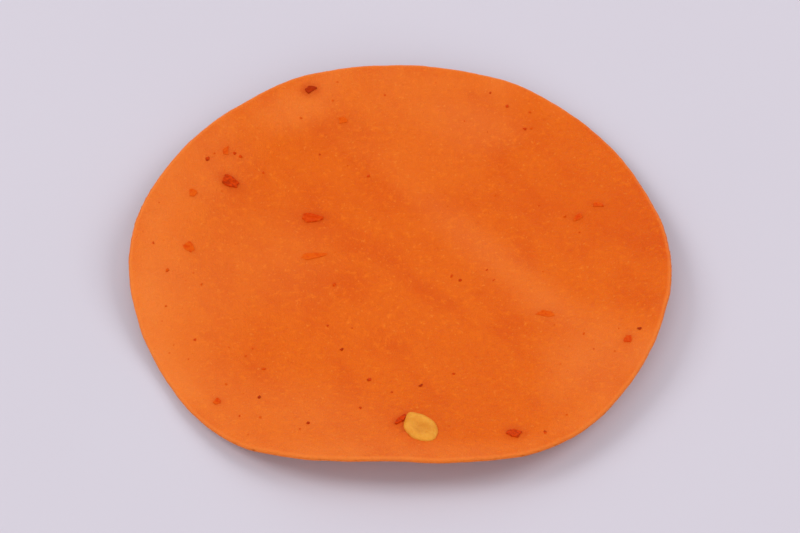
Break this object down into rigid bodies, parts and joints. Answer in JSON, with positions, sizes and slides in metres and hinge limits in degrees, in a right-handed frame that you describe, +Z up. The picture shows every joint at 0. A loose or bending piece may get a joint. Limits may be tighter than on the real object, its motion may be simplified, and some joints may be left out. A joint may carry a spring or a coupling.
{
  "type": "rice papadum",
  "caption": "Round raw rice papadum: a thin, slightly dished and wavy leaf of dried orange rice dough, with a chilli seed and chilli flakes pressed into its top.",
  "frame": {"origin": "centre of the box round the leaf, at the height of the flat spot it rests on", "axes": "+X across the leaf's greatest width, +Y away from the side that carries the chilli seed, +Z up out of the top face"},
  "size_m": [0.0594, 0.0558, 0.0047],
  "materials": {
    "rice_dough": "satin",
    "chilli_seed": "satin",
    "chilli_flake": "satin"
  },
  "bodies": {
    "root": {"papadum": "rice_dough"}
  },
  "joints": []
}
